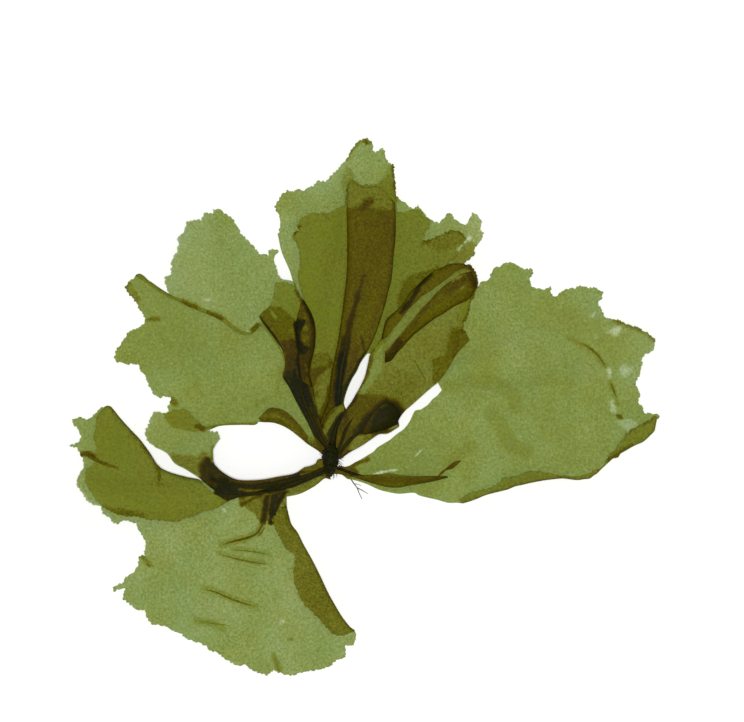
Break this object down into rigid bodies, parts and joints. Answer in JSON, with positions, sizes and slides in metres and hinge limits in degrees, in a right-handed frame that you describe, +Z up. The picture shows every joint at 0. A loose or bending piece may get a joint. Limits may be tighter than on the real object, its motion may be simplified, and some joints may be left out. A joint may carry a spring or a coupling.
{
  "type": "kornmannia leptoderma",
  "caption": "Small green seaweed lying spread on a surface: thin waved fronds with ragged margins fan out from one holdfast, overlap, and are folded or pleated in places.",
  "frame": {"origin": "middle of the holdfast's flat underside, on the surface that the seaweed lies on", "axes": "+X towards the tip of the largest frond, the plant's longest way; +Y towards the tips of the top fronds; +Z up from the surface, through the layers of fronds"},
  "size_m": [0.0626, 0.057, 0.0041],
  "materials": {
    "single_film": "thin translucent yellow-green plant film, moist satin",
    "double_film": "two or more layers of translucent film, olive, moist satin",
    "gathered_film": "tightly gathered film, dark olive brown, moist satin",
    "holdfast_tissue": "compact cushion of root-like threads, nearly black green, satin"
  },
  "bodies": {
    "root": {"holdfast": "holdfast_tissue", "right_frond": "single_film", "pleated_frond": "double_film", "top_back_frond": "single_film", "top_front_frond": "double_film", "stub_frond": "gathered_film", "upper_left_frond": "single_film", "left_frond": "single_film", "small_frond": "single_film", "lower_left_frond": "double_film", "lower_frond": "single_film"}
  },
  "joints": []
}
